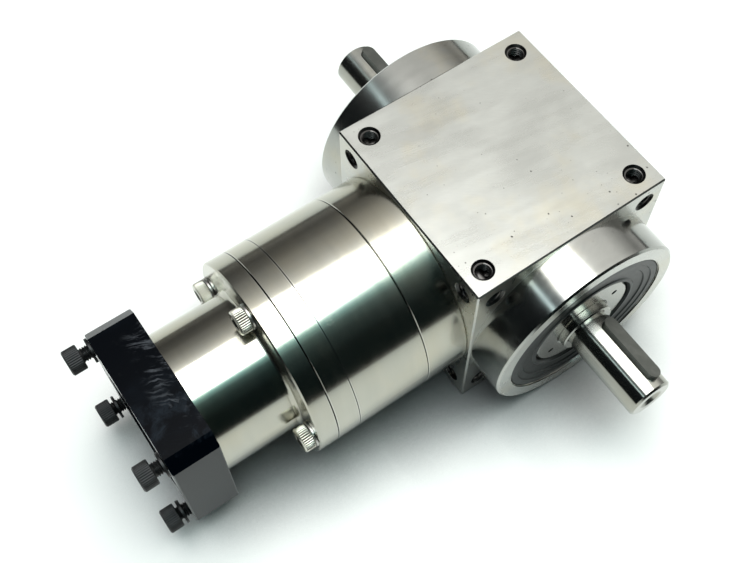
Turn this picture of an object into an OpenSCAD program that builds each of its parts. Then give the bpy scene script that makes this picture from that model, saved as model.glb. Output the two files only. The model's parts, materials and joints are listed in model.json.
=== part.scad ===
// Right-angle planetary gearbox: a cube housing with a double-ended keyed
// output shaft across it (X), a bevel pair inside, and an in-line planetary
// stage with a motor adapter on the -Y side.
// Origin: centre of the cube's bottom face, +Z up, all shafts at half height.

/* [Housing] */
// Edge length of the cube housing
body_w = 75; // [74:0.5:78]
// Radius of the round output bosses
boss_r = 36.75; // [36.5:0.05:37]
// Distance from the centre to a boss face
boss_x = 52; // [51.8:0.1:54]
// Half spacing of the M6 holes on each face
hole_h = 30.25; // [30:0.05:30.5]
// Depth of the M6 holes
hole_depth = 10; // [8:0.5:12]

/* [Output shaft] */
// Radius of the output shaft ends
shaft_r = 8; // [7.5:0.1:8.5]
// Distance from the centre to a shaft end
shaft_x = 84.4; // [84:0.1:88]
// Key width and height
key_w = 5; // [5:0.5:6]
// Key length
key_l = 25; // [20:0.5:26]
// Tilt of the keys away from straight up, towards +Y, in degrees
key_tilt = 18.3; // [0:0.1:90]

/* [Planetary stage] */
// Outer radius of the planetary stage
stage_r = 36; // [35.8:0.05:36.5]
// Gear module of the planetary stage
pl_m = 1.1; // [1.08:0.01:1.1]
// Radius of the circle of the long flange screws
screw_pcr = 31.5; // [31.3:0.1:31.7]

/* [Motor adapter] */
// Outer radius of the narrow barrel
barrel_r = 25.2; // [25:0.1:26]
// Width of the square motor plate
plate_w = 55; // [55:0.5:60]
// Radius of the motor pilot bore
pilot_r = 20; // [19:0.5:20]
// Half spacing of the motor screws
motor_h = 22.27; // [22:0.01:22.6]
// Radius of the clamping bore for the motor shaft
input_r = 7; // [5:0.5:8]

/* [Hidden] */
$fn = 72;

axis_h = body_w / 2;
half = body_w / 2;
seal_r = 31;        // bore and seal outer radius of the output bosses
mid_r = 28;         // bore through the middle of the cube
spig_r = 25.5;      // spigot of the stage housing
st_y = 52.9;        // stage housing / ring gear seam
rg_y = 80;          // ring gear / bearing plate seam
bp_y = 88.2;        // bearing plate / input housing seam
fl_y = 95.4;        // front face of the input flange
nb_y = 123.3;       // end of the narrow barrel
mp_y = 139.3;       // motor face
pa = 25;            // pressure angle
sun_n = 12; pln_n = 18; ring_n = 48;
pl_cr = pl_m * (sun_n + pln_n) / 2;
bev_m = 13 / 7;     // bevel module: 14 and 28 teeth, heel radii 13 and 26
cone_d = sqrt(13 * 13 + 26 * 26);
steel = [0.62, 0.61, 0.59];
dark = [0.08, 0.08, 0.085];

// ---- placing helpers: local Z becomes +X, +Y or -Y at shaft height ----
module along_x() { translate([0, 0, axis_h]) rotate([0, 90, 0]) children(); }
module along_y() { translate([0, 0, axis_h]) rotate([-90, 0, 0]) children(); }
module along_my() { translate([0, 0, axis_h]) rotate([90, 0, 0]) children(); }
module xcyl(x0, x1, r) { along_x() translate([0, 0, x0]) cylinder(h = x1 - x0, r = r); }
// depth values along -Y, a < b
module ycyl(a, b, r) { along_my() translate([0, 0, a]) cylinder(h = b - a, r = r); }
// revolved profile, points are [radius, distance along the axis]
module xrev(p) { along_x() rotate_extrude() polygon(p); }
module yrev(p) { along_my() rotate_extrude() polygon(p); }
// ring with chamfered outer edges, along -Y
module ystage(a, b, ro, ri, ca, cb) {
  yrev([[ri, a], [ro - ca, a], [ro, a + ca], [ro, b - cb], [ro - cb, b], [ri, b]]);
}
// box centred in X and Y with every edge chamfered
module chamfered_cube(w, c) {
  intersection() {
    linear_extrude(w) chamfered_square(w, w, c);
    translate([0, 0, w / 2]) rotate([90, 0, 0]) translate([0, 0, -w / 2]) linear_extrude(w) chamfered_square(w, w, c);
    translate([0, 0, w / 2]) rotate([0, 90, 0]) translate([0, 0, -w / 2]) linear_extrude(w) chamfered_square(w, w, c);
  }
}
module chamfered_square(w, h, c) {
  polygon([[-w / 2 + c, -h / 2], [w / 2 - c, -h / 2], [w / 2, -h / 2 + c], [w / 2, h / 2 - c],
    [w / 2 - c, h / 2], [-w / 2 + c, h / 2], [-w / 2, h / 2 - c], [-w / 2, -h / 2 + c]]);
}
// four M6 holes of radius r going down from z = 0, with a countersink
module m6_four(r) {
  for (sx = [-1, 1], sy = [-1, 1]) translate([sx * hole_h, sy * hole_h, 0]) {
    translate([0, 0, -hole_depth]) cylinder(h = hole_depth + 1, r = r);
    translate([0, 0, -0.75]) cylinder(h = 1.5, r1 = r, r2 = 4.5);
    translate([0, 0, -hole_depth - 1.5]) cylinder(h = 1.5, r1 = 0.1, r2 = r);
  }
}
// socket head screw along +Z, head top at z = 0, shank going down
module socket_screw(hr, hh, sr, len, sock) {
  difference() {
    union() {
      rotate_extrude() polygon([[0, -hh - len], [sr - 0.4, -hh - len], [sr, -hh - len + 0.4], [sr, -hh],
        [hr, -hh], [hr, -0.4], [hr - 0.4, 0], [0, 0]]);
    }
    translate([0, 0, -hh * 0.55]) cylinder(h = hh, r = sock / 2 / cos(30), $fn = 6);
  }
}
// split spring washer, z from 0 to t
module split_washer(ri, ro, t) {
  difference() {
    rotate_extrude() translate([ri, 0]) square([ro - ri, t]);
    rotate([0, 0, 20]) translate([0, -0.2, -1]) cube([ro + 1, 0.4, t + 2]);
  }
}

// ---- involute gear outlines ----
function inv(a) = tan(a) - a * PI / 180;
function flank(n, m, r) = // half tooth angle at radius r, in degrees
  let (rb = m * n / 2 * cos(pa))
  (inv(pa) - (r > rb ? inv(acos(rb / r)) : 0)) * 180 / PI;
function rstep(r0, r1, k) = r0 + (r1 - r0) * k / 4;
function gear_pts(n, m, r0, r1, bl) =
  let (rb = m * n / 2 * cos(pa), rs = max(rb + 0.02, r0),
    th = 90 / n - bl / (m * n / 2) * 90 / PI)
  [for (i = [0 : n - 1]) let (c = i * 360 / n)
    each concat(
      r0 < rs ? [let (a = c - th - flank(n, m, rs)) [r0 * cos(a), r0 * sin(a)]] : [],
      [for (k = [0 : 4]) let (r = rstep(rs, r1, k), a = c - th - flank(n, m, r)) [r * cos(a), r * sin(a)]],
      [for (k = [4 : -1 : 0]) let (r = rstep(rs, r1, k), a = c + th + flank(n, m, r)) [r * cos(a), r * sin(a)]],
      r0 < rs ? [let (a = c + th + flank(n, m, rs)) [r0 * cos(a), r0 * sin(a)]] : [])];

// ---- bevel gear outlines: a spherical involute seen on a plane ----
function cang(g, t) = // azimuth of the spherical involute at cone angle t
  let (sb = sin(g) * cos(pa), gb = asin(sb), psi = t > gb ? acos(cos(t) / cos(gb)) : 0)
  psi / sb - atan2(tan(psi), sb);
function bevel_pts(n, g, d, bl) =
  let (sb = sin(g) * cos(pa), gb = asin(sb),
    ta = g + atan(1.15 * bev_m / cone_d), tf = g - atan(1.2 * bev_m / cone_d),
    ts = max(gb + 0.05, tf), th = 90 / n - bl)
  [for (i = [0 : n - 1]) let (c = i * 360 / n)
    each concat(
      tf < ts ? [let (a = c - th - cang(g, g) + cang(g, ts)) d * tan(tf) * [cos(a), sin(a)]] : [],
      [for (k = [0 : 4]) let (t = rstep(ts, ta, k), a = c - th - cang(g, g) + cang(g, t)) d * tan(t) * [cos(a), sin(a)]],
      [for (k = [4 : -1 : 0]) let (t = rstep(ts, ta, k), a = c + th + cang(g, g) - cang(g, t)) d * tan(t) * [cos(a), sin(a)]],
      tf < ts ? [let (a = c + th + cang(g, g) - cang(g, ts)) d * tan(tf) * [cos(a), sin(a)]] : [])];
// conical toothed solid along +Z with its apex at the origin, from d0 to d1
module bevel_teeth(n, g, d0, d1, bl) {
  translate([0, 0, d1]) mirror([0, 0, 1])
    linear_extrude(height = d1 - d0, scale = d0 / d1) polygon(bevel_pts(n, g, d1, bl));
}

// ---- ball bearings: pr pitch radius, br ball radius, axial span a to b ----
module race_outer(ro, ri, pr, br, a, b) {
  difference() {
    rotate_extrude() polygon([[ri, a + 0.3], [ri + 0.3, a], [ro - 0.5, a], [ro, a + 0.5], [ro, b - 0.5], [ro - 0.5, b], [ri + 0.3, b], [ri, b - 0.3]]);
    translate([0, 0, (a + b) / 2]) rotate_extrude() translate([pr, 0]) circle(r = br + 0.15);
  }
}
module race_inner(ro, ri, pr, br, a, b) {
  difference() {
    rotate_extrude() polygon([[ri, a + 0.5], [ri + 0.5, a], [ro - 0.3, a], [ro, a + 0.3], [ro, b - 0.3], [ro - 0.3, b], [ri + 0.5, b], [ri, b - 0.5]]);
    translate([0, 0, (a + b) / 2]) rotate_extrude() translate([pr, 0]) circle(r = br + 0.15);
  }
}
module ball_set(n, pr, br, a, b) {
  translate([0, 0, (a + b) / 2]) {
    for (i = [0 : n - 1]) rotate([0, 0, i * 360 / n]) translate([pr, 0, 0]) sphere(r = br);
    difference() {
      rotate_extrude() translate([pr - 0.9, -br - 1]) square([1.8, 2 * br + 2]);
      for (i = [0 : n - 1]) rotate([0, 0, i * 360 / n]) translate([pr - 3, 0, 0]) rotate([0, 90, 0]) cylinder(h = 6, r = br + 0.2);
    }
  }
}

// ================= fixed pieces =================
module main_housing() {
  color(steel) difference() {
    union() {
      chamfered_cube(body_w, 0.5);
      xrev([[0, -boss_x], [boss_r - 0.7, -boss_x], [boss_r, -boss_x + 0.7], [boss_r, boss_x - 0.7], [boss_r - 0.7, boss_x], [0, boss_x]]);
    }
    xcyl(-half, half, mid_r);
    for (s = [0, 1]) mirror([s, 0, 0]) {
      xcyl(26, boss_x + 1, seal_r);
      xcyl(boss_x - 0.5, boss_x + 1, seal_r + 0.3);
      xcyl(42, 44, seal_r + 1);
    }
    ycyl(0, half + 1, spig_r);
    ycyl(half - 0.8, half + 1, spig_r + 0.4);
    translate([0, 0, body_w]) m6_four(3);
    rotate([180, 0, 0]) m6_four(2.8);
    for (a = [0, 90, 180, 270]) translate([0, 0, axis_h]) rotate([0, 0, a]) translate([half, 0, 0]) rotate([0, 90, 0]) m6_four(a < 180 ? 3 : 2.8);
    for (a = [0 : 3]) along_my() rotate([0, 0, a * 90]) translate([screw_pcr, 0, half - 5.9]) cylinder(h = 7, r = 2.5);
  }
}
module output_seal() {
  color(dark) xrev([[19.05, 48.4], [20.2, 46.2], [22, 45.2], [22, 44.6], [30.6, 44.6], [seal_r, 45], [seal_r, 51.2],
    [seal_r - 0.45, 51.6], [28.2, 51.6], [27.8, 51.25], [25.6, 51.1], [25.2, 50.7], [21.4, 50.5], [20.9, 50.9], [20, 51], [19.6, 50.4], [19.35, 49.4]]);
}
module output_circlip() {
  color(steel) difference() {
    xrev([[27.6, 42.1], [seal_r + 0.9, 42.1], [seal_r + 0.9, 43.9], [27.6, 43.9]]);
    translate([41, -3, 0]) cube([4, 6, axis_h]);
  }
}
module output_bearing_outer() { color(steel) along_x() race_outer(seal_r, 26.4, 23, 4.75, 26, 42); }
module output_bearing_inner() { color(steel) along_x() race_inner(19.6, 15.02, 23, 4.75, 26, 42); }
module stage_housing() {
  color(steel) difference() {
    union() {
      ystage(half, st_y, stage_r, 21, 0.3, 0.35);
      yrev([[21, 28.9], [spig_r - 0.45, 28.9], [spig_r - 0.05, 29.3], [spig_r - 0.05, 33.2], [23.6, 33.2],
        [23.6, 35.4], [spig_r - 0.05, 35.4], [spig_r - 0.05, half + 0.2], [21, half + 0.2]]);
    }
    through_holes(half - 1, st_y + 1);
  }
}
module through_holes(a, b) {
  for (i = [0 : 3]) along_my() rotate([0, 0, i * 90]) translate([screw_pcr, 0, a]) cylinder(h = b - a, r = 2.75);
}
module housing_oring() { color(dark) along_my() translate([0, 0, 34.3]) rotate_extrude() translate([24.55, 0]) circle(r = 0.88); }
module ring_gear() {
  color(steel) difference() {
    ystage(st_y, rg_y, stage_r, 20, 0.35, 0.1);
    along_my() translate([0, 0, st_y - 1]) linear_extrude(rg_y - st_y + 2) rotate(180 / ring_n)
      polygon(gear_pts(ring_n, pl_m, pl_m * ring_n / 2 - 0.9 * pl_m, pl_m * ring_n / 2 + 1.25 * pl_m, -0.06));
    ycyl(st_y - 1, rg_y + 1, pl_m * ring_n / 2 - 0.9 * pl_m);
    through_holes(st_y - 1, rg_y + 1);
  }
}
module bearing_plate() {
  color(steel) difference() {
    ystage(rg_y, bp_y, stage_r, 20, 0.1, 0.3);
    ycyl(81.5, bp_y + 1, 23.5);
    through_holes(rg_y - 1, bp_y + 1);
  }
}
module input_housing() {
  fr = 1.6;
  color(steel) difference() {
    union() {
      yrev(concat([[21.5, bp_y], [stage_r - 0.3, bp_y], [stage_r, bp_y + 0.3], [stage_r, fl_y - 0.5], [stage_r - 0.5, fl_y]],
        [for (i = [0 : 6]) let (a = i * 15) [barrel_r + fr - fr * sin(a), fl_y + fr - fr * cos(a)]],
        [[barrel_r, nb_y - 0.3], [barrel_r - 0.3, nb_y], [21.5, nb_y]]));
    }
    ycyl(bp_y - 1, 93.5, 23.5);
    through_holes(bp_y - 1, fl_y + 1);
    for (i = [0 : 3]) along_my() rotate([0, 0, i * 90]) translate([23.35, 0, nb_y - 8]) cylinder(h = 9, r = 1.5);
    translate([0, -110, axis_h - 15.8]) rotate([0, -90, 0]) cylinder(h = 30, r = 3.6);
  }
}
module flange_screws() {
  color([0.75, 0.74, 0.72]) for (i = [0 : 3]) along_my() rotate([0, 0, i * 90])
    translate([screw_pcr, 0, fl_y + 1 + 4]) socket_screw(4.25, 4, 2.45, 64.6, 4);
}
module flange_washers() {
  color([0.7, 0.69, 0.67]) for (i = [0 : 3]) along_my() rotate([0, 0, i * 90]) translate([screw_pcr, 0, fl_y]) rotate([0, 0, i * 40]) split_washer(2.6, 4.4, 1);
}
module motor_plate() {
  color(dark) difference() {
    along_my() intersection() {
      translate([0, 0, nb_y]) linear_extrude(mp_y - nb_y) chamfered_square(plate_w, plate_w, 4.2);
      translate([0, 0, nb_y - 60]) rotate([90, 0, 0]) translate([0, 0, -60]) linear_extrude(120)
        polygon([[-plate_w / 2 + 0.4, 60], [plate_w / 2 - 0.4, 60], [plate_w / 2, 60.4], [plate_w / 2, 60 + mp_y - nb_y - 0.4], [plate_w / 2 - 0.4, 60 + mp_y - nb_y], [-plate_w / 2 + 0.4, 60 + mp_y - nb_y], [-plate_w / 2, 60 + mp_y - nb_y - 0.4], [-plate_w / 2, 60.4]]);
    }
    ycyl(nb_y - 1, mp_y + 1, 19);
    ycyl(mp_y - 4.5, mp_y + 1, pilot_r);
    ycyl(mp_y - 0.4, mp_y + 1, pilot_r + 0.4);
    for (sx = [-1, 1], sy = [-1, 1]) along_my() translate([sx * motor_h, sy * motor_h, nb_y - 1]) cylinder(h = 20, r = 2.5);
    for (i = [0 : 3]) along_my() rotate([0, 0, i * 90]) translate([23.5, 0, nb_y - 1]) {
      cylinder(h = 20, r = 1.7);
      translate([0, 0, mp_y - nb_y - 0.8]) cylinder(h = 1.8, r1 = 1.7, r2 = 3.3);
    }
  }
}
module adapter_screws() {
  color(dark) for (i = [0 : 3]) along_my() rotate([0, 0, i * 90]) translate([23.35, 0, 0]) difference() {
    rotate_extrude() polygon([[0, nb_y - 7], [1.45, nb_y - 7], [1.45, mp_y - 1.6], [2.6, mp_y - 0.3], [0, mp_y - 0.3]]);
    translate([0, 0, mp_y - 1.6]) cylinder(h = 3, r = 1.15, $fn = 6);
  }
}
module motor_screws() {
  color(dark) for (sx = [-1, 1], sy = [-1, 1]) along_my() translate([sx * motor_h, sy * motor_h, 148.2]) socket_screw(4.25, 5, 2.45, 16, 4);
}
module motor_washers() {
  color(dark) for (sx = [-1, 1], sy = [-1, 1]) along_my() translate([sx * motor_h, sy * motor_h, sy > 0 ? mp_y : 141.1]) rotate([0, 0, sx * 65]) split_washer(2.6, 4.2, 1.2);
}
module input_seal() {
  color(dark) yrev([[12.56, 97.4], [13.6, 94.9], [14, 94], [21.1, 94], [21.48, 94.4], [21.48, 100.6], [21.1, 101], [19.5, 101], [19, 100.4], [15, 100.2], [14.2, 99.6], [13, 99.4]]);
}
module pinion_bearing_outer(a) { color(steel) along_my() race_outer(20.98, 18.1, 15.5, 3.175, a, a + 12); }
module pinion_bearing_inner(a) { color(steel) along_my() race_inner(12.9, 10.02, 15.5, 3.175, a, a + 12); }
module input_bearing_outer() { color(steel) along_my() race_outer(23.48, 20.6, 18, 3.175, 81.5, 93.5); }
module input_bearing_inner() { color(steel) along_my() race_inner(15.4, 12.52, 18, 3.175, 81.5, 93.5); }
module access_plug() {
  color(dark) intersection() {
    translate([-12, -110, axis_h - 15.8]) rotate([0, -90, 0]) cylinder(h = 14, r = 3.55);
    difference() { ycyl(100, 120, barrel_r - 0.3); ycyl(99, 121, 21.3); }
  }
}

// ================= output shaft group =================
module output_shaft() {
  g = shaft_x;
  color(steel) difference() {
    xrev([[0, -g], [shaft_r - 0.7, -g], [shaft_r, -g + 0.7], [shaft_r, -54.6], [shaft_r - 0.4, -54.4], [shaft_r - 0.4, -53.4], [9.6, -53.4], [10, -53], [10, -42.1],
      [15, -42.1], [15, 42.1], [10, 42.1], [10, 53], [9.6, 53.4], [shaft_r - 0.4, 53.4], [shaft_r - 0.4, 54.4], [shaft_r, 54.6], [shaft_r, g - 0.7], [shaft_r - 0.7, g], [0, g]]);
    for (s = [0, 1]) mirror([s, 0, 0]) {
      xcyl(g - 14, g + 1, 2.5);
      along_x() translate([0, 0, g - 1.6]) cylinder(h = 1.7, r1 = 2.5, r2 = 4.3);
      key_solid(5, 0.03, 4);
    }
    // seat for the bevel gear key
    translate([12, -4, axis_h + 12]) cube([12, 8, 10]);
  }
}
// feather key with round ends, bottom at radius z0, height kh
module key_solid(z0, grow, kh) {
  translate([shaft_x - 2.9 - key_l, 0, axis_h]) rotate([-key_tilt, 0, 0]) translate([0, 0, z0]) linear_extrude(kh) {
    translate([key_w / 2, 0]) circle(r = key_w / 2 + grow);
    translate([key_l - key_w / 2, 0]) circle(r = key_w / 2 + grow);
    translate([key_w / 2, -key_w / 2 - grow]) square([key_l - key_w, key_w + 2 * grow]);
  }
}
module output_key() { color([0.3, 0.3, 0.3]) key_solid(5.02, 0, key_w); }
module bevel_gear() {
  color(steel) difference() {
    intersection() {
      along_x() rotate([0, 0, 180 / 28]) bevel_teeth(28, atan(2), 7.5, 15.6, 0.12);
      xrev([[15, 8.25], [19.45, 8.25], [26.83, 11.34], [25, 15], [24, 17], [15, 17]]);
    }
    xcyl(0, 30, 15.02);
    translate([0, -4.02, axis_h]) cube([30, 8.04, 18.3]);
  }
  color(steel) difference() {
    xcyl(15.3, 25.9, 21);
    xcyl(0, 30, 15.02);
    translate([0, -4.02, axis_h]) cube([30, 8.04, 18.3]);
  }
}
module bevel_gear_key() { color([0.3, 0.3, 0.3]) translate([12.05, -3.98, axis_h + 12.02]) cube([11.9, 7.96, 6.1]); }
module lock_nut() {
  color(steel) difference() {
    xrev([[10.02, 42.12], [18.98, 42.12], [18.98, 49.8], [18.4, 50.3], [10.6, 50.3], [10.02, 49.8]]);
    for (a = [0 : 3]) along_x() rotate([0, 0, a * 90 + 33]) translate([14.4, 0, 47.5]) cylinder(h = 4, r = 1.1);
  }
}
module spacer_sleeve() { color(steel) difference() { xcyl(-26, 8, 16.9); xcyl(-27, 9, 15.02); } }

// ================= carrier group =================
module bevel_pinion() {
  color(steel) union() {
    intersection() {
      along_my() bevel_teeth(14, atan(0.5), 17.5, 28, 0.22);
      yrev([[0, 18.3], [10.6, 18.3], [14.66, 25.17], [11, 27], [0, 27]]);
    }
    ycyl(26, 28.9, 11);
    ycyl(28, 59.8, 10);
  }
}
module planet_carrier() {
  color(steel) difference() {
    union() {
      ycyl(54.1, 60, 24);
      ycyl(52.95, 54.2, 12.4);
      ycyl(75, 79, 24);
      for (i = [0 : 2]) along_my() rotate([0, 0, i * 120 + 60]) translate([19.2, 0, 55]) cylinder(h = 23, r = 4);
    }
    ycyl(50, 61, 10.02);
    ycyl(74, 80, 8.4);
    for (i = [0 : 2]) along_my() rotate([0, 0, i * 120]) translate([pl_cr, 0, 50]) cylinder(h = 40, r = 3.02);
  }
}
module planet_pins() { color(steel) for (i = [0 : 2]) along_my() rotate([0, 0, i * 120]) translate([pl_cr, 0, 55]) cylinder(h = 23.5, r = 3); }

// ================= input group =================
module sun_gear() {
  color(steel) union() {
    along_my() translate([0, 0, 61.2]) linear_extrude(13.4) polygon(gear_pts(sun_n, pl_m, pl_m * sun_n / 2 - 1.25 * pl_m, pl_m * sun_n / 2 + pl_m, 0.1));
    ycyl(74, 90, 5);
  }
}
module input_hub() {
  color(steel) difference() {
    yrev([[5.02, 80.3], [14, 80.3], [14, 81.45], [12.5, 81.45], [12.5, 119.6], [12, 120], [input_r, 120], [input_r, 92], [5.02, 92]]);
    for (i = [0 : 1]) along_my() rotate([0, 0, i * 90 + 45]) translate([-20, -0.8, 103]) cube([40, 1.6, 20]);
  }
}
module clamp_collar() {
  color(steel) difference() {
    yrev([[12.54, 104], [19, 104], [19.5, 104.5], [19.5, 115.5], [19, 116], [12.54, 116]]);
    translate([-1, -118, 0]) cube([2, 16, axis_h - 5]);
    translate([-30, -110, axis_h - 16]) rotate([0, 90, 0]) cylinder(h = 60, r = 2.02);
    translate([-30, -110, axis_h - 16]) rotate([0, 90, 0]) cylinder(h = 26.8, r = 3.4);
  }
}
module clamp_screw() { color(dark) translate([-7.1, -110, axis_h - 16]) rotate([0, -90, 0]) socket_screw(3.3, 3.9, 2, 12, 3); }

// ================= planets =================
module planet_at(i) { along_my() rotate([0, 0, i * 120]) translate([pl_cr, 0, 0]) children(); }
module planet_gear(i) {
  color(steel) planet_at(i) difference() {
    translate([0, 0, 61.2]) linear_extrude(13.2) rotate(180 / pln_n) polygon(gear_pts(pln_n, pl_m, pl_m * pln_n / 2 - 1.25 * pl_m, pl_m * pln_n / 2 + pl_m, 0.1));
    translate([0, 0, 60]) cylinder(h = 20, r = 5.1);
  }
}
module planet_needles(i) {
  color(steel) planet_at(i) for (k = [0 : 9]) rotate([0, 0, k * 36]) translate([4.05, 0, 61.6]) cylinder(h = 12.4, r = 0.95);
}

main_housing();
output_seal();  // output_seal_right
mirror([1, 0, 0]) output_seal();  // output_seal_left
output_circlip();  // output_circlip_right
mirror([1, 0, 0]) output_circlip();  // output_circlip_left
output_bearing_outer();  // output_bearing_right_outer
mirror([1, 0, 0]) output_bearing_outer();  // output_bearing_left_outer
stage_housing();
housing_oring();
ring_gear();
bearing_plate();
input_housing();
flange_screws();
flange_washers();
motor_plate();
adapter_screws();
motor_screws();
motor_washers();
input_seal();
pinion_bearing_outer(28.9);  // pinion_bearing_front_outer
pinion_bearing_outer(40.9);  // pinion_bearing_rear_outer
input_bearing_outer();
access_plug();
output_shaft();
output_key();  // output_key_right
mirror([1, 0, 0]) output_key();  // output_key_left
bevel_gear();
bevel_gear_key();
output_bearing_inner();  // output_bearing_right_inner
mirror([1, 0, 0]) output_bearing_inner();  // output_bearing_left_inner
lock_nut();  // lock_nut_right
mirror([1, 0, 0]) lock_nut();  // lock_nut_left
spacer_sleeve();
bevel_pinion();
planet_carrier();
planet_pins();
pinion_bearing_inner(28.9);  // pinion_bearing_front_inner
pinion_bearing_inner(40.9);  // pinion_bearing_rear_inner
sun_gear();
input_hub();
clamp_collar();
clamp_screw();
input_bearing_inner();
planet_gear(0);  // planet_gear_1
planet_gear(1);  // planet_gear_2
planet_gear(2);  // planet_gear_3
planet_needles(0);  // planet_needles_1
planet_needles(1);  // planet_needles_2
planet_needles(2);  // planet_needles_3
color(steel) along_x() ball_set(9, 23, 4.75, 26, 42);  // output_balls_right
mirror([1, 0, 0]) color(steel) along_x() ball_set(9, 23, 4.75, 26, 42);  // output_balls_left
color(steel) along_my() ball_set(9, 15.5, 3.175, 28.9, 40.9);  // pinion_balls_front
color(steel) along_my() ball_set(9, 15.5, 3.175, 40.9, 52.9);  // pinion_balls_rear
color(steel) along_my() ball_set(10, 18, 3.175, 81.5, 93.5);  // input_balls
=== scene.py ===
import bpy, json, math
import numpy as np
from mathutils import Matrix, Vector


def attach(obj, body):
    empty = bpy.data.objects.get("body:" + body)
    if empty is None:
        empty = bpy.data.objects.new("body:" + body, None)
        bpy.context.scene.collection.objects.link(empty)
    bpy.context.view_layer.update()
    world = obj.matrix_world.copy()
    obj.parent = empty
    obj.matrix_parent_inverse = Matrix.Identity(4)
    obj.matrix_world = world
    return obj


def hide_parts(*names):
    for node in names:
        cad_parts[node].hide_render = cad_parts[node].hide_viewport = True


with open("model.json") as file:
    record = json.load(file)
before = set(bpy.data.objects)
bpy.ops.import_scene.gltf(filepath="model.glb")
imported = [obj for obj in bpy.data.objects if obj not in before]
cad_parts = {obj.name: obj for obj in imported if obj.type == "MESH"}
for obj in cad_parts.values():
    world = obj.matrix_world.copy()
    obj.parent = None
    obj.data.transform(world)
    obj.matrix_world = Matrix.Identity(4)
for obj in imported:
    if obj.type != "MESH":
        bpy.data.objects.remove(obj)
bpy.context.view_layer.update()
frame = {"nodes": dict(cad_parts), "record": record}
N = frame["nodes"]
AX = 0.0375                      # height of both shaft axes
sc = bpy.context.scene

# ------------------------------------------------------------------ camera
def make_camera():
    cam = bpy.data.cameras.new("camera")
    cam.lens, cam.sensor_width, cam.sensor_fit = 51.58, 36.0, "HORIZONTAL"
    cam.clip_start, cam.clip_end = 0.01, 20
    o = bpy.data.objects.new("camera", cam)
    sc.collection.objects.link(o)
    right = Vector((0.571439, 0.820633, -0.004336))
    down = Vector((0.722777, -0.505786, -0.470928))
    fwd = Vector((-0.388652, 0.265973, -0.882161))
    m = Matrix((right, -down, -fwd)).transposed().to_4x4()
    m.translation = Vector((0.140572, -0.145425, 0.360592))
    o.matrix_world = m
    sc.camera = o
make_camera()
sc.view_settings.view_transform = "Standard"
sc.view_settings.look = "None"

# ------------------------------------------------------------------ node helper
class NT:
    def __init__(self, tree):
        self.t = tree; self.n = tree.nodes; self.l = tree.links
    def add(self, kind, **kw):
        nd = self.n.new(kind)
        for k, v in kw.items(): setattr(nd, k, v)
        return nd
    def link(self, a, b): self.l.new(a, b)
    def put(self, sock, v):
        if isinstance(v, bpy.types.NodeSocket): self.link(v, sock)
        elif v is not None: sock.default_value = v
    def m(self, op, a, b=None, c=None, clamp=False):
        nd = self.add("ShaderNodeMath", operation=op, use_clamp=clamp)
        for i, v in enumerate((a, b, c)): self.put(nd.inputs[i], v)
        return nd.outputs[0]
    def vm(self, op, a, b=None, out=0):
        nd = self.add("ShaderNodeVectorMath", operation=op)
        self.put(nd.inputs[0], a); self.put(nd.inputs[1], b)
        return nd.outputs[out]
    def scale(self, a, k):
        nd = self.add("ShaderNodeVectorMath", operation="SCALE")
        self.put(nd.inputs[0], a); self.put(nd.inputs["Scale"], k)
        return nd.outputs[0]
    def rng(self, v, a, b, c=0.0, d=1.0, smooth=True):
        nd = self.add("ShaderNodeMapRange", interpolation_type="SMOOTHSTEP" if smooth else "LINEAR")
        for i, x in enumerate((v, a, b, c, d)): self.put(nd.inputs[i], x)
        return nd.outputs[0]
    def sep(self, v):
        nd = self.add("ShaderNodeSeparateXYZ"); self.put(nd.inputs[0], v); return nd.outputs
    def comb(self, x=0.0, y=0.0, z=0.0):
        nd = self.add("ShaderNodeCombineXYZ")
        for i, v in enumerate((x, y, z)): self.put(nd.inputs[i], v)
        return nd.outputs[0]
    def noise(self, vec, scale=5.0, detail=2.0, rough=0.5, dist=0.0, out="Fac"):
        nd = self.add("ShaderNodeTexNoise"); self.put(nd.inputs["Vector"], vec)
        nd.inputs["Scale"].default_value = scale; nd.inputs["Detail"].default_value = detail
        nd.inputs["Roughness"].default_value = rough; nd.inputs["Distortion"].default_value = dist
        return nd.outputs[out]
    def voronoi(self, vec, scale, out="Distance"):
        nd = self.add("ShaderNodeTexVoronoi"); self.put(nd.inputs["Vector"], vec)
        nd.inputs["Scale"].default_value = scale
        return nd.outputs[out]
    def mix(self, f, a, b, blend="MIX"):
        nd = self.add("ShaderNodeMix", data_type="RGBA", blend_type=blend)
        self.put(nd.inputs[0], f)
        self.put(nd.inputs[6], a if not isinstance(a, tuple) else (*a, 1.0))
        self.put(nd.inputs[7], b if not isinstance(b, tuple) else (*b, 1.0))
        return nd.outputs[2]
    def fmix(self, f, a, b):
        nd = self.add("ShaderNodeMix", data_type="FLOAT")
        self.put(nd.inputs[0], f); self.put(nd.inputs[2], a); self.put(nd.inputs[3], b)
        return nd.outputs[0]
    def ramp(self, f, stops, interp="LINEAR"):
        nd = self.add("ShaderNodeValToRGB"); r = nd.color_ramp; r.interpolation = interp
        self.put(nd.inputs[0], f)
        while len(r.elements) < len(stops): r.elements.new(0.5)
        for e, (p, c) in zip(r.elements, stops):
            e.position = p
            e.color = (*c, 1.0) if isinstance(c, tuple) else (c, c, c, 1.0)
        return nd.outputs[0]
    def bump(self, h, strength, dist, normal=None):
        nd = self.add("ShaderNodeBump")
        nd.inputs["Strength"].default_value = strength; nd.inputs["Distance"].default_value = dist
        self.put(nd.inputs["Height"], h); self.put(nd.inputs["Normal"], normal)
        return nd.outputs[0]

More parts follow.
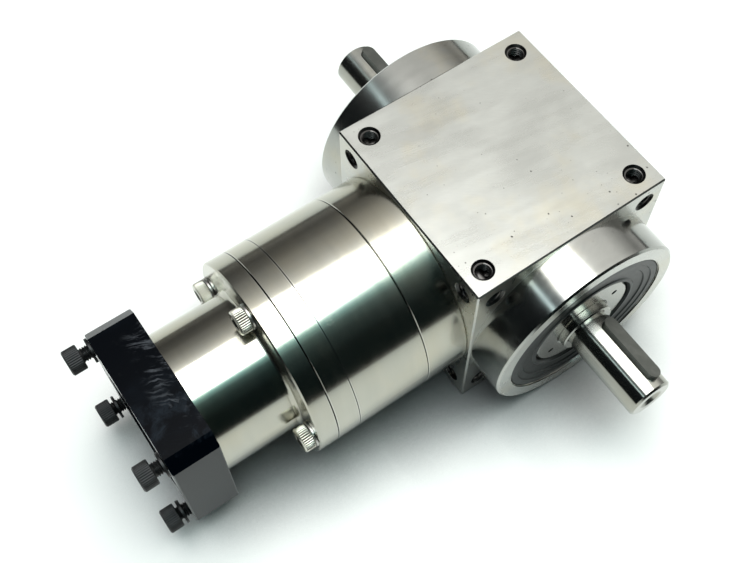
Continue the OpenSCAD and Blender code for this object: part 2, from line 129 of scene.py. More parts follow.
def new_mat(name, metallic, rough, aniso=0.0, spec=0.5, coat=0.0, coat_rough=0.1):
    mat = bpy.data.materials.new(name); mat.use_nodes = True
    t = NT(mat.node_tree); t.n.clear()
    out = t.add("ShaderNodeOutputMaterial"); b = t.add("ShaderNodeBsdfPrincipled")
    t.link(b.outputs[0], out.inputs[0])
    b.inputs["Metallic"].default_value = metallic; b.inputs["Roughness"].default_value = rough
    b.inputs["Anisotropic"].default_value = aniso
    b.inputs["Specular IOR Level"].default_value = spec
    b.inputs["Coat Weight"].default_value = coat; b.inputs["Coat Roughness"].default_value = coat_rough
    t.b = b; t.mat = mat
    t.pos = t.add("ShaderNodeTexCoord").outputs["Object"]
    return t

def dressed(t, color=None, rough=None, normal=None, tangent_axis=None):
    t.b.inputs["Anisotropic Rotation"].default_value = 0.25 if tangent_axis else 0.0
    if color is not None: t.put(t.b.inputs["Base Color"], color)
    if rough is not None: t.put(t.b.inputs["Roughness"], rough)
    if normal is not None: t.put(t.b.inputs["Normal"], normal)
    if tangent_axis:
        tg = t.add("ShaderNodeTangent", direction_type="RADIAL", axis=tangent_axis)
        t.link(tg.outputs[0], t.b.inputs["Tangent"])
    return t.mat

def specks(t, vec, scale, size, share):
    """Small dark pits: a share of the cells of a voronoi pattern hold one each."""
    nd = t.add("ShaderNodeTexVoronoi"); t.put(nd.inputs["Vector"], vec); nd.inputs["Scale"].default_value = scale
    d, col = nd.outputs["Distance"], nd.outputs["Color"]
    c = t.sep(col)
    rad = t.m("MULTIPLY", c[1], size)
    inside = t.rng(t.m("SUBTRACT", d, rad), -0.012, 0.012, 1.0, 0.0)
    pick = t.m("GREATER_THAN", c[0], 1.0 - share)
    return t.m("MULTIPLY", inside, pick)

# ------------------------------------------------------------------ steels
def ground_steel():
    """The cube and its bosses: flat faces ground in straight fine lines, bosses turned, painted shade inside the tapped
    holes.
    """
    t = new_mat("ground_steel", 1.0, 0.26, aniso=0.45)
    x, y, z = t.sep(t.pos)[:3]
    zc = t.m("SUBTRACT", z, AX)
    nx, ny, nz = t.sep(t.add("ShaderNodeNewGeometry").outputs["True Normal"])[:3]
    fx, fy, fz = (t.m("GREATER_THAN", t.m("ABSOLUTE", v), 0.85) for v in (nx, ny, nz))
    px, py, pz = (t.m("ABSOLUTE", v) for v in (x, y, zc))
    beyond = t.m("GREATER_THAN", px, 0.0376)
    boss = t.m("MULTIPLY", beyond, t.m("SUBTRACT", 1.0, fx))
    endface = t.m("MULTIPLY", beyond, fx)
    rx = t.m("SQRT", t.m("ADD", t.m("MULTIPLY", y, y), t.m("MULTIPLY", zc, zc)))
    an = t.m("ARCTAN2", zc, y)
    arc = t.m("MULTIPLY", an, 0.0367)
    # flat coordinates on each face, in metres
    u = t.fmix(boss, t.fmix(fx, x, y), x)
    v = t.fmix(boss, t.fmix(fz, zc, y), arc)
    uv = t.comb(u, v, 0.0)
    # grinding lines: a slight slant off the Y direction
    across = t.m("ADD", t.m("MULTIPLY", u, 0.985), t.m("MULTIPLY", v, -0.17))
    along = t.m("ADD", t.m("MULTIPLY", v, 0.985), t.m("MULTIPLY", u, 0.17))
    across = t.fmix(boss, t.fmix(endface, across, rx), x)
    along = t.fmix(boss, t.fmix(endface, along, t.m("MULTIPLY", an, 0.03)), arc)
    fine = t.noise(t.comb(t.m("MULTIPLY", across, 3600), t.m("MULTIPLY", along, 90), 0.0), 1.0, 3.0, 0.6)
    band = t.noise(t.comb(t.m("MULTIPLY", across, 300), t.m("MULTIPLY", along, 22), 3.7), 1.0, 3.0, 0.55)
    # second set of marks, cross-grained, only in patches
    d1 = t.m("ADD", t.m("MULTIPLY", u, 0.82), t.m("MULTIPLY", v, -0.57))
    d2 = t.m("ADD", t.m("MULTIPLY", u, 0.57), t.m("MULTIPLY", v, 0.82))
    cross = t.noise(t.comb(t.m("MULTIPLY", d1, 1900), t.m("MULTIPLY", d2, 190), 8.0), 1.0, 3.0, 0.6)
    patch = t.rng(t.noise(uv, 38, 3.0, 0.55), 0.40, 0.62)
    cloud = t.noise(t.vm("MULTIPLY", uv, (1.0, 0.55, 1.0)), 62, 5.0, 0.6, 0.4)
    stain = t.rng(t.noise(t.vm("ADD", uv, (0.31, 0.12, 0.0)), 34, 4.0, 0.6), 0.50, 0.70)
    col = t.mix(stain, (0.488, 0.492, 0.462), (0.520, 0.502, 0.430))
    tone = t.m("ADD", t.m("ADD", t.m("MULTIPLY", band, 0.22), t.m("MULTIPLY", cloud, 0.50)), t.m("MULTIPLY", t.m("MULTIPLY", cross, patch), 0.20))
    col = t.mix(1.0, col, t.ramp(tone, [(0.22, 0.84), (0.60, 1.10)]), "MULTIPLY")
    # pits and dark specks
    def flecks(vec, scale, size, share):
        nd = t.add("ShaderNodeTexVoronoi", voronoi_dimensions="2D")
        t.put(nd.inputs["Vector"], vec); nd.inputs["Scale"].default_value = scale
        c = t.sep(nd.outputs["Color"])
        rad = t.m("MULTIPLY", t.m("ADD", t.m("MULTIPLY", c[1], 0.7), 0.3), size)
        wob = t.m("MULTIPLY", t.noise(vec, scale * 9, 1.0, 0.5), size * 0.7)
        return t.m("MULTIPLY", t.rng(t.m("SUBTRACT", t.m("ADD", nd.outputs["Distance"], wob), rad), -0.02 * 1, 0.02, 1.0, 0.0), t.m("GREATER_THAN", c[0], 1.0 - share))
    right = t.rng(t.m("ADD", u, t.m("MULTIPLY", v, 0.4)), -0.01, 0.02)
    big = t.m("MULTIPLY", flecks(uv, 190, 0.115, 0.22), t.m("MAXIMUM", right, boss))
    small = flecks(t.vm("ADD", uv, (0.013, 0.021, 0.0)), 420, 0.14, 0.07)
    pit = t.m("MAXIMUM", big, t.m("MULTIPLY", small, 0.75))
    col = t.mix(t.m("MULTIPLY", pit, 0.88), col, (0.045, 0.042, 0.038))
    col = t.mix(t.m("MULTIPLY", boss, 0.16), col, (0.0, 0.0, 0.0))
    # painted shade inside the tapped corner holes: the hole walls turn near black
    def near_hole(a, b, depth):
        da = t.m("SUBTRACT", a, 0.03025); db = t.m("SUBTRACT", b, 0.03025)
        r = t.m("SQRT", t.m("ADD", t.m("MULTIPLY", da, da), t.m("MULTIPLY", db, db)))
        return t.m("MULTIPLY", t.m("LESS_THAN", r, 0.00385), t.m("LESS_THAN", depth, 0.03747))
    hole = t.m("MAXIMUM", near_hole(px, py, pz), t.m("MAXIMUM", near_hole(py, pz, px), near_hole(px, pz, py)))
    col = t.mix(t.m("MULTIPLY", hole, 0.93), col, (0.010, 0.010, 0.011))
    rough = t.m("ADD", t.m("ADD", t.m("MULTIPLY", band, 0.10), t.m("MULTIPLY", cloud, 0.16)), t.fmix(boss, 0.15, 0.02))
    h = t.m("ADD", t.m("ADD", fine, t.m("MULTIPLY", t.m("MULTIPLY", cross, patch), 0.8)), t.m("MULTIPLY", pit, -2.5))
    return dressed(t, col, rough, t.bump(h, 0.16, 0.000022), "X")

def turned_steel(name, axis, base, rough0, aniso, fine=3000, speck=0.08, bump=0.16, tint=None, seams=()):
    t = new_mat(name, 1.0, rough0, aniso=aniso)
    x, y, z = t.sep(t.pos)[:3]
    zc = t.m("SUBTRACT", z, AX)
    along, side = (x, y) if axis == "X" else (y, x)
    rad = t.m("SQRT", t.m("ADD", t.m("MULTIPLY", side, side), t.m("MULTIPLY", zc, zc)))
    an = t.m("ARCTAN2", zc, side)
    # one coordinate that runs along a side and in towards the centre of a face
    run = t.m("ADD", along, rad)
    lines = t.noise(t.comb(t.m("MULTIPLY", run, fine), t.m("MULTIPLY", an, 0.8), 0.0), 1.0, 3.0, 0.65)
    wide = t.noise(t.comb(t.m("MULTIPLY", run, 300), t.m("MULTIPLY", an, 0.9), 5.1), 1.0, 2.0, 0.5)
    cloud = t.noise(t.pos, 55, 4.0, 0.6)
    col = t.mix(t.rng(cloud, 0.35, 0.75), base, tint or tuple(c * k for c, k in zip(base, (1.04, 1.0, 0.93))))
    col = t.mix(1.0, col, t.ramp(t.m("ADD", t.m("MULTIPLY", wide, 0.5), t.m("MULTIPLY", cloud, 0.5)), [(0.2, 0.90), (0.8, 1.06)]), "MULTIPLY")
    pit = specks(t, t.pos, 210, 0.07, speck)
    col = t.mix(t.m("MULTIPLY", pit, 0.8), col, (0.08, 0.075, 0.07))
    # painted seam marks: a dark line of painted shade stands for the gap at each seam, and the light band beside it is
    # a painted highlight on the seam edge
    for at, half_w, amount in seams:
        d = t.m("ABSOLUTE", t.m("SUBTRACT", along, at))
        wob = t.m("MULTIPLY", t.noise(t.pos, 900, 2.0, 0.5), half_w * 0.5)
        seam_painted_shade = t.m("MULTIPLY", t.rng(t.m("SUBTRACT", d, wob), half_w * 0.6, half_w, 1.0, 0.0), t.m("GREATER_THAN", rad, 0.0345))
        edge = t.m("MULTIPLY", t.rng(t.m("ABSOLUTE", t.m("SUBTRACT", d, half_w * 2.0)), 0.0, half_w, 1.0, 0.0), t.m("GREATER_THAN", rad, 0.0345))
        col = t.mix(t.m("MULTIPLY", edge, 0.45 * amount), col, (0.86, 0.86, 0.83))
        col = t.mix(t.m("MULTIPLY", seam_painted_shade, 0.95 * amount), col, (0.012, 0.012, 0.012))
    rough = t.m("ADD", t.m("ADD", t.m("MULTIPLY", wide, 0.06), t.m("MULTIPLY", cloud, 0.08)), rough0 - 0.07)
    sv = t.noise(t.vm("MULTIPLY", t.vm("ADD", t.pos, t.scale(t.noise(t.pos, 30, 2.0, 0.5, 0.0, "Color"), 0.006)), (240, 700, 240)), 1.0, 2.0, 0.5)
    nick = t.m("MULTIPLY", t.rng(t.m("ABSOLUTE", t.m("SUBTRACT", sv, 0.5)), 0.0, 0.006, 1.0, 0.0), t.rng(t.noise(t.pos, 95, 3.0, 0.6), 0.60, 0.70))
    h = t.m("ADD", t.m("ADD", lines, t.m("MULTIPLY", pit, -2.0)), t.m("MULTIPLY", nick, -1.6))
    return dressed(t, col, t.m("ADD", rough, t.m("MULTIPLY", nick, 0.12)), t.bump(h, bump, 0.00002), axis)

def plain_steel(name, base, rough0, grain=900, bump=0.12):
    t = new_mat(name, 1.0, rough0)
    a = t.noise(t.pos, grain, 3.0, 0.6); b = t.noise(t.pos, 130, 3.0, 0.5)
    col = t.mix(t.rng(b, 0.3, 0.75), tuple(c * 0.86 for c in base), base)
    return dressed(t, col, t.m("ADD", t.m("MULTIPLY", b, 0.14), rough0 - 0.07), t.bump(a, bump, 0.00002))

def black_oxide():
    t = new_mat("black_oxide", 0.0, 0.42, spec=0.38)
    a = t.noise(t.pos, 1500, 3.0, 0.6); b = t.noise(t.pos, 260, 3.0, 0.5)
    col = t.mix(t.rng(b, 0.35, 0.8), (0.0035, 0.0037, 0.004), (0.009, 0.009, 0.0092))
    return dressed(t, col, t.m("ADD", t.m("MULTIPLY", b, 0.22), 0.30), t.bump(a, 0.25, 0.00003))

def black_anodised():
    """Satin black plate: fine grain, wipe marks and rubbed patches on the upper face, and a painted sheen towards white
    at grazing angles.
    """
    t = new_mat("black_anodised", 0.0, 0.24, spec=0.03)
    x, y, z = t.sep(t.pos)[:3]
    grain = t.noise(t.pos, 2400, 2.0, 0.6)
    mill = t.noise(t.comb(t.m("MULTIPLY", y, 1900), t.m("MULTIPLY", x, 60), t.m("MULTIPLY", z, 60)), 1.0, 2.0, 0.5)
    # rubbed strokes, near the barrel edge of the upper face
    warp = t.noise(t.pos, 70, 3.0, 0.6, 0.6, "Color")
    w = t.vm("ADD", t.pos, t.scale(warp, 0.007))
    wx, wy = t.sep(w)[:2]
    s1 = t.m("ADD", t.m("MULTIPLY", wx, 0.45), t.m("MULTIPLY", wy, 0.89))
    s2 = t.m("ADD", t.m("MULTIPLY", wx, 0.89), t.m("MULTIPLY", wy, -0.45))
    stroke = t.noise(t.comb(t.m("MULTIPLY", s2, 900), t.m("MULTIPLY", s1, 130), 0.0), 1.0, 4.0, 0.65)
    top = t.m("GREATER_THAN", z, 0.0640)
    edge_y = t.m("ADD", y, t.m("MULTIPLY", t.m("ABSOLUTE", t.m("SUBTRACT", x, 0.004)), -0.10))
    near = t.m("MULTIPLY", t.rng(edge_y, -0.1345, -0.1285), t.m("MULTIPLY", t.rng(x, -0.0215, -0.0150), t.rng(x, 0.010, 0.022, 1.0, 0.0)))
    patch = t.rng(t.noise(t.vm("ADD", t.pos, (0.2, 0.0, 0.1)), 150, 3.0, 0.6), 0.42, 0.60)
    scuff = t.m("MULTIPLY", t.m("MULTIPLY", t.rng(stroke, 0.46, 0.64), t.m("MULTIPLY", near, patch)), top)
    haze = t.m("MULTIPLY", t.m("MULTIPLY", t.rng(t.noise(w, 120, 5.0, 0.7, 0.5), 0.44, 0.72), t.rng(x, -0.004, 0.016)), top)
    dust = t.rng(t.noise(t.pos, 190, 4.0, 0.7), 0.60, 0.80)
    smear = t.rng(t.noise(t.vm("MULTIPLY", w, (90, 40, 90)), 1.0, 3.0, 0.5), 0.45, 0.8)
    col = t.mix(smear, (0.0003, 0.0010, 0.0022), (0.0016, 0.0034, 0.0062))
    col = t.mix(t.m("MULTIPLY", haze, 0.55), col, (0.022, 0.030, 0.040))
    col = t.mix(t.m("MULTIPLY", scuff, 0.9), col, (0.060, 0.064, 0.072))
    col = t.mix(t.m("MULTIPLY", dust, 0.06), col, (0.06, 0.06, 0.06))
    # painted sheen: the colour is lifted towards white at grazing angles
    facing = t.add("ShaderNodeLayerWeight"); facing.inputs["Blend"].default_value = 0.5
    sheen = t.m("MULTIPLY", t.m("POWER", facing.outputs["Facing"], 4.0), 0.42)
    col = t.mix(sheen, col, (1.0, 1.0, 1.0))
    rough = t.m("ADD", t.m("ADD", t.m("MULTIPLY", smear, 0.10), t.m("MULTIPLY", scuff, 0.25)), 0.20)
    return dressed(t, col, rough, t.bump(t.m("ADD", grain, mill), 0.06, 0.00002))

def rubber():
    t = new_mat("seal_rubber", 0.0, 0.45, spec=0.2)
    x, y, z = t.sep(t.pos)[:3]; zc = t.m("SUBTRACT", z, AX)
    rad = t.m("SQRT", t.m("ADD", t.m("MULTIPLY", y, y), t.m("MULTIPLY", zc, zc)))
    rings = t.noise(t.comb(t.m("MULTIPLY", rad, 1500), 0.0, 0.0), 1.0, 2.0, 0.5)
    b = t.noise(t.pos, 300, 3.0, 0.6)
    col = t.mix(t.rng(b, 0.3, 0.8), (0.004, 0.0065, 0.006), (0.010, 0.014, 0.0128))
    return dressed(t, col, t.m("ADD", t.m("MULTIPLY", b, 0.16), 0.26), t.bump(t.m("ADD", rings, t.m("MULTIPLY", b, 0.6)), 0.2, 0.00004))

def key_steel():
    t = new_mat("key_steel", 1.0, 0.42)
    b = t.noise(t.pos, 240, 4.0, 0.6); s = t.noise(t.vm("MULTIPLY", t.pos, (60, 1400, 1400)), 1.0, 2.0, 0.5)
    col = t.mix(t.rng(b, 0.35, 0.75), (0.135, 0.141, 0.128), (0.175, 0.180, 0.165))
    pit = specks(t, t.pos, 520, 0.10, 0.10)
    col = t.mix(t.m("MULTIPLY", pit, 0.6), col, (0.05, 0.05, 0.05))
    return dressed(t, col, t.m("ADD", t.m("MULTIPLY", b, 0.2), 0.32), t.bump(s, 0.15, 0.00002))

def bright_screw():
    """Plated knurled screws: bright crests, painted shade in the knurl grooves and inside the socket."""
    t = new_mat("bright_screw", 1.0, 0.22)
    x, y, z = t.sep(t.pos)[:3]; zc = t.m("SUBTRACT", z, AX)
    px, pz = t.m("ABSOLUTE", x), t.m("ABSOLUTE", zc)
    def far(a, b):
        d = t.m("SUBTRACT", a, 0.0315)
        return t.m("SQRT", t.m("ADD", t.m("MULTIPLY", d, d), t.m("MULTIPLY", b, b)))
    r = t.m("MINIMUM", far(px, pz), far(pz, px))
    knurled = t.m("MULTIPLY", t.m("MULTIPLY", t.m("GREATER_THAN", y, -0.09995), t.m("LESS_THAN", y, -0.09665)), t.m("GREATER_THAN", r, 0.0037))
    knurl_painted_shade = t.m("MULTIPLY", t.rng(r, 0.00395, 0.00420, 1.0, 0.0), knurled)
    inside = t.m("MULTIPLY", t.m("LESS_THAN", r, 0.0024), t.m("LESS_THAN", y, -0.0979))
    a = t.noise(t.pos, 1400, 3.0, 0.6); b = t.noise(t.pos, 260, 3.0, 0.5)
    col = t.mix(t.rng(b, 0.3, 0.75), (0.56, 0.55, 0.475), (0.66, 0.645, 0.565))
    # painted shade: the knurl grooves and the socket recess turn dark
    col = t.mix(t.m("MULTIPLY", knurl_painted_shade, 0.93), col, (0.035, 0.033, 0.028))
    col = t.mix(t.m("MULTIPLY", inside, 0.75), col, (0.06, 0.057, 0.05))
    return dressed(t, col, t.m("ADD", t.m("MULTIPLY", b, 0.14), 0.17), t.bump(a, 0.15, 0.00002))

M = {
    "ground_steel": ground_steel(),
    "turned_steel": turned_steel("turned_steel", "Y", (0.452, 0.446, 0.392), 0.17, 0.8,
                                 seams=((-0.0529, 0.00012, 1.0), (-0.0800, 0.00014, 1.0), (-0.0882, 0.00016, 1.0))),
    "shaft_steel": turned_steel("shaft_steel", "X", (0.355, 0.360, 0.335), 0.16, 0.8, bump=0.07, fine=4200, speck=0.03),
    "input_steel": turned_steel("input_steel", "Y", (0.46, 0.46, 0.44), 0.25, 0.6),
    "bearing_steel": plain_steel("bearing_steel", (0.62, 0.62, 0.61), 0.20),
    "gear_steel": plain_steel("gear_steel", (0.44, 0.43, 0.41), 0.32),
    "spring_steel": plain_steel("spring_steel", (0.50, 0.49, 0.46), 0.33),
    "bright_screw": bright_screw(),
    # thread_steel is near black: painted shade for the inside of the tapped holes
    "thread_steel": plain_steel("thread_steel", (0.085, 0.082, 0.078), 0.26),
    "black_oxide": black_oxide(),
    "black_anodised": black_anodised(),
    "seal_rubber": rubber(),
    "key_steel": key_steel(),
}
slot_of = {s["node"]: s["material_slot"] for s in frame["record"]["subparts"]}
for name, o in N.items():
    s = slot_of[name]
    if name in ("input_hub", "clamp_collar"): s = "input_steel"
    o.data.materials.clear()
    o.data.materials.append(M[s])

# ------------------------------------------------------------------ mesh builders
def mesh_object(name, verts, faces, mat, body, smooth_angle=35.0):
    me = bpy.data.meshes.new(name)
    me.from_pydata([tuple(v) for v in verts], [], [tuple(f) for f in faces])
    me.validate(); me.update()
    o = bpy.data.objects.new(name, me)
    sc.collection.objects.link(o)
    me.materials.append(mat)
    for p in me.polygons: p.use_smooth = True
    me.set_sharp_from_angle(angle=math.radians(smooth_angle))
    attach(o, body)
    return o

def rings_mesh(rings, n, cap0=True, cap1=True):
    """Closed skin over a stack of rings. A ring is (z, radius or function of angle)."""
    th = np.arange(n) * 2 * math.pi / n
    V = []
    for z, r in rings:
        rr = np.array([r(a) for a in th]) if callable(r) else np.full(n, r)
        zz = np.array([z(a) for a in th]) if callable(z) else np.full(n, z)
        V.append(np.stack([rr * np.cos(th), rr * np.sin(th), zz], 1))
    V = np.concatenate(V); F = []
    k = len(rings)
    for j in range(k - 1):
        for i in range(n):
            i2 = (i + 1) % n
            F.append((j * n + i, j * n + i2, (j + 1) * n + i2, (j + 1) * n + i))
    extra = []
    if cap0:
        c = len(V) + len(extra); extra.append([0, 0, V[:n, 2].mean()])
        F += [(c, (i + 1) % n, i) for i in range(n)]
    if cap1:
        c = len(V) + len(extra); extra.append([0, 0, V[-n:, 2].mean()])
        F += [(c, (k - 1) * n + i, (k - 1) * n + (i + 1) % n) for i in range(n)]
    if extra: V = np.concatenate([V, np.array(extra)])
    return V, F

def join(parts):
    V, F, off = [], [], 0
    for v, f in parts:
        V.append(v); F += [tuple(i + off for i in q) for q in f]; off += len(v)
    return np.concatenate(V), F

def place(part, m):
    v, f = part
    m = np.array(m)
    return v @ m[:3, :3].T + m[:3, 3], f

def hex_r(flats):
    a = flats / 2
    return lambda t: a / math.cos(((t + math.pi / 6) % (math.pi / 3)) - math.pi / 6)

def thread_r(r_out, depth, pitch, z):
    """Outside thread: radius at angle t and height z."""
    def f(t):
        u = (z / pitch - t / (2 * math.pi)) % 1.0
        w = abs(2 * u - 1)               # 0 at the crest, 1 at the root
        return r_out - depth * min(1.0, max(0.0, (w - 0.12) / 0.70))
    return f

def socket_screw(hr, hh, sr, length, sock, ribs, pitch, threaded, knurl=0.17):
    """Socket head screw: head top at z = 0, shank going to -hh-length. Millimetres."""
    n = ribs * 8
    rib = lambda d: (lambda t: hr - d * (1 - abs(math.cos(ribs * t / 2)) ** 0.8))
    c = 0.45
    hx = hex_r(sock)
    head = [(-hh, sr * 0.92), (-hh, hr - 0.30), (-hh + 0.22, hr - 0.06), (-hh + 0.45, rib(knurl)), (-hh * 0.5, rib(knurl)),
            (-c - 0.35, rib(knurl)), (-c, rib(knurl * 0.45)), (-c + 0.12, hr - 0.12), (-0.12, hr - c * 0.9), (0.0, hr - c - 0.12),
            (0.0, lambda t: 0.5 * (hr - c - 0.12) + 0.5 * (hx(t) + 0.22)), (0.0, lambda t: hx(t) + 0.22), (-0.22, hx),
            (-hh * 0.3, hx), (-hh * 0.55, hx), (-hh * 0.60, lambda t: hx(t) * 0.55)]
    a = rings_mesh(head, n)
    m = 48
    z = -hh - length
    rings = [(z, sr - 0.5), (z + 0.35, sr - 0.25)]
    step = pitch / 8
    zz = z + 0.5
    end = min(-hh - 0.3, z + threaded)
    while zz < end:
        rings.append((zz, thread_r(sr, 0.42, pitch, zz))); zz += step
    rings += [(end + 0.1, sr - 0.28)]
    if end < -hh - 1: rings += [(end + 0.6, sr), (-hh - 0.4, sr)]
    rings += [(-hh + 0.3, sr - 0.02)]
    b = rings_mesh(rings, m)
    return join([a, b])

def inner_thread(r_out, depth, pitch, length, skin=0.04):
    """Thread inside a tapped hole: a thin sleeve from z = 0 down to -length, wall just behind the bore."""
    m = 48; step = pitch / 8
    k = int(length / step)
    def rr(z):
        def f(t):
            u = (z / pitch - t / (2 * math.pi)) % 1.0
            w = abs(2 * u - 1)
            return r_out - depth * (1 - min(1.0, max(0.0, (w - 0.10) / 0.75)))
        return f
    inner = [(-i * step, rr(-i * step)) for i in range(k + 1)]
    outer = [(-k * step, r_out + skin), (0.0, r_out + skin)]
    V, F = rings_mesh(inner + outer + [inner[0]], m, False, False)
    # weld the last ring onto the first
    n = len(V) - m
    F = [tuple(i - n if i >= n else i for i in q) for q in F]
    return V[:n], F

def lock_washer(ri, ro, t, rise=0.35, gap=14.0):
    """Split spring washer: one turn of square wire with its two ends apart. z from 0 up."""
    n = 72; g = math.radians(gap)
    V, F = [], []
    b = 0.12
    prof = [(ri, b), (ri + b, 0), (ro - b, 0), (ro, b), (ro, t - b), (ro - b, t), (ri + b, t), (ri, t - b)]
    k = len(prof)
    for i in range(n + 1):
        a = g / 2 + (2 * math.pi - g) * i / n
        dz = rise * (i / n)
        for r, z in prof: V.append((r * math.cos(a), r * math.sin(a), z * (1 - rise / t * 0.9) + dz))
    for i in range(n):
        for j in range(k):
            j2 = (j + 1) % k
            F.append((i * k + j, i * k + j2, (i + 1) * k + j2, (i + 1) * k + j))
    F.append(tuple(reversed(range(k)))); F.append(tuple(n * k + j for j in range(k)))
    return np.array(V), [tuple(reversed(f)) for f in F]

MM = Matrix.Scale(0.001, 4)
def to_minus_y(x, depth, z, spin=0.0):
    """Local +Z points to -Y; x and z in mm from the shaft axis, depth in mm along -Y."""
    return MM @ Matrix.Translation((x, -depth, AX * 1000 + z)) @ Matrix.Rotation(math.radians(90), 4, "X") @ Matrix.Rotation(math.radians(spin), 4, "Z")

# long bright flange screws
SCREW_R = 31.5
parts, washers = [], []
sproto = socket_screw(4.25, 4.0, 2.45, 64.6, 4.0, 32, 0.8, 18, 0.42)
wproto = lock_washer(2.6, 4.4, 1.0, 0.28)
for i in range(4):
    a = math.radians(90 * i)
    x, z = SCREW_R * math.cos(a), SCREW_R * math.sin(a)
    parts.append(place(sproto, to_minus_y(x, 100.4, z, 17 + 38 * i)))
    washers.append(place(wproto, to_minus_y(x, 95.4, z, 60 + 80 * i)))
o = mesh_object("flange_screws_detailed", *join(parts), M["bright_screw"], "housing", 30)
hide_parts("flange_screws")
o = mesh_object("flange_washers_detailed", *join(washers), M["spring_steel"], "housing")
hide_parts("flange_washers")

# black motor screws, parked part way in, with their washers
MH = 22.27
parts, washers = [], []
bproto = socket_screw(4.25, 5.0, 2.45, 16.0, 4.0, 32, 0.8, 15.6, 0.17)
wproto = lock_washer(2.6, 4.2, 1.2)
for sx in (-1, 1):
    for szz in (-1, 1):
        parts.append(place(bproto, to_minus_y(sx * MH, 148.2, szz * MH, 11 + 23 * sx + 9 * szz)))
        washers.append(place(wproto, to_minus_y(sx * MH, 139.3 if szz > 0 else 141.1, szz * MH, 100 + 65 * sx)))
o = mesh_object("motor_screws_detailed", *join(parts), M["black_oxide"], "housing", 30)
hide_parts("motor_screws")
o = mesh_object("motor_washers_detailed", *join(washers), M["black_oxide"], "housing")
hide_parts("motor_washers")

# threads in the M6 corner holes of all six faces
H = 30.25
parts = []
t_small = inner_thread(3.0, 0.55, 1.0, 9.0)
t_large = inner_thread(2.8, 0.42, 1.0, 9.0)
for axis, sgn in (("Z", 1), ("Z", -1), ("X", 1), ("X", -1), ("Y", 1), ("Y", -1)):
    rot = {("Z", 1): Matrix.Identity(4), ("Z", -1): Matrix.Rotation(math.pi, 4, "X"),
           ("X", 1): Matrix.Rotation(math.pi / 2, 4, "Y"), ("X", -1): Matrix.Rotation(-math.pi / 2, 4, "Y"),
           ("Y", 1): Matrix.Rotation(-math.pi / 2, 4, "X"), ("Y", -1): Matrix.Rotation(math.pi / 2, 4, "X")}[(axis, sgn)]
    for u in (-1, 1):
        for v in (-1, 1):
            m = MM @ Matrix.Translation((0, 0, AX * 1000)) @ rot @ Matrix.Translation((u * H, v * H, 37.5 - 0.8))
            parts.append(place(t_small if sgn > 0 else t_large, m))
o = mesh_object("housing_threads", *join(parts), M["thread_steel"], "housing", 50)

# threads in the shaft end taps
parts = []
tp = inner_thread(2.5, 0.45, 0.8, 10.0)
for s in (1, -1):
    m = MM @ Matrix.Translation((0, 0, AX * 1000)) @ Matrix.Rotation(s * math.pi / 2, 4, "Y") @ Matrix.Translation((0, 0, 84.4 - 1.7))
    parts.append(place(tp, m))
o = mesh_object("shaft_threads", *join(parts), M["thread_steel"], "output", 50)

# ------------------------------------------------------------------ floor
def make_floor():
    me = bpy.data.meshes.new("floor")
    s = 0.9
    me.from_pydata([(-s, -s, 0), (s, -s, 0), (s, s, 0), (-s, s, 0)], [], [(0, 1, 2, 3)])
    o = bpy.data.objects.new("floor", me); sc.collection.objects.link(o)
    o.location.z = -0.0002
    t = new_mat("floor_white", 0.0, 0.55, spec=0.3)
    n = t.noise(t.pos, 9, 3.0, 0.5)
    # painted shadow: the floor colour darkens to grey near the object, driven by an ambient occlusion node
    ao = t.add("ShaderNodeAmbientOcclusion"); ao.samples = 12
    ao.inputs["Distance"].default_value = 0.045
    painted_contact_shade = t.rng(ao.outputs["AO"], 0.28, 0.92)
    col = t.mix(n, (0.955, 0.940, 0.905), (0.970, 0.955, 0.920))
    dressed(t, t.mix(painted_contact_shade, (0.16, 0.16, 0.16), col), 0.5)
    me.materials.append(t.mat)
make_floor()

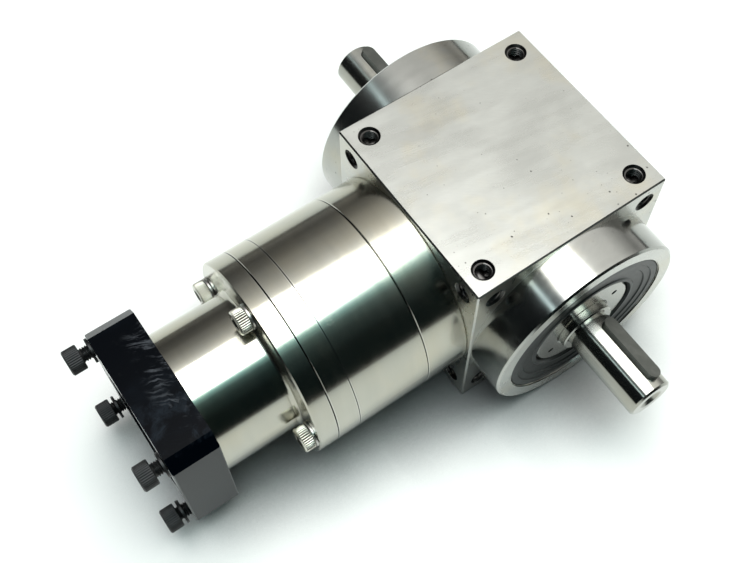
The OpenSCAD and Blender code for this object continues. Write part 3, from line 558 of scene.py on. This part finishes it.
# ------------------------------------------------------------------ studio
def make_world():
    w = bpy.data.worlds.new("studio"); sc.world = w; w.use_nodes = True
    t = NT(w.node_tree); t.n.clear()
    out = t.add("ShaderNodeOutputWorld"); bg = t.add("ShaderNodeBackground"); t.link(bg.outputs[0], out.inputs[0])
    d = t.add("ShaderNodeTexCoord").outputs["Generated"]
    x, y, z = t.sep(d)[:3]
    flat = t.vm("NORMALIZE", t.comb(x, y, 0.0))
    def toward(az, sharp):
        v = (math.cos(math.radians(az)), math.sin(math.radians(az)), 0.0)
        return t.m("POWER", t.m("MAXIMUM", t.vm("DOT_PRODUCT", flat, v, out=1), 0.0), sharp)
    K = 2.5
    def wall(stops, tint=(1, 1, 1)):
        return t.ramp(z, [(math.sin(math.radians(e)), tuple(min(1.0, v * c / K) for c in tint)) for e, v in stops])
    right = wall([(0, .008), (30, .014), (45, .045), (55, .13), (61, .6), (65, 1.5), (68, 1.8)], (0.52, 1.04, 1.06))
    back = wall([(0, .68), (12, .40), (24, .80), (36, 1.35), (50, 1.55), (60, 1.65), (68, 1.7)], (1.0, 1.0, 0.97))
    left = wall([(0, .13), (12, .055), (27, .07), (40, .20), (50, .40), (58, .80), (64, 1.4), (68, 1.6)], (1.0, 1.0, 0.98))
    near = wall([(0, .010), (38, .017), (47, .034), (48.6, 2.4), (50.4, 2.4), (52, .14), (62, .22), (67, 1.6)], (0.80, 1.0, 1.12))
    ws = [toward(13, 2.2), toward(105, 2.2), toward(172, 2.2), toward(-106, 2.2)]
    tot = t.m("ADD", t.m("ADD", ws[0], ws[1]), t.m("ADD", ws[2], t.m("ADD", ws[3], 1e-4)))
    acc = None
    for wgt, col in zip(ws, (right, back, left, near)):
        s = t.scale(col, t.m("DIVIDE", wgt, tot))
        acc = s if acc is None else t.vm("ADD", acc, s)
    up = t.scale(acc, K)
    under = t.m("LESS_THAN", z, 0.0)
    col = t.mix(under, up, (0.10, 0.10, 0.098))
    seen = t.add("ShaderNodeLightPath").outputs["Is Camera Ray"]
    col = t.mix(seen, col, (0.93, 0.94, 0.935))
    t.link(col, bg.inputs[0]); bg.inputs[1].default_value = 1.0
make_world()

def area(name, loc, target, size, power, color=(1, 1, 1)):
    l = bpy.data.lights.new(name, "AREA"); l.shape = "DISK"; l.size = size; l.energy = power; l.color = color
    o = bpy.data.objects.new(name, l); sc.collection.objects.link(o)
    o.location = loc
    o.rotation_euler = (Vector(target) - Vector(loc)).to_track_quat("-Z", "Y").to_euler()
    return o
area("overhead_softbox", (0.02, -0.06, 0.86), (0.02, -0.06, 0.0), 0.70, 5.4)
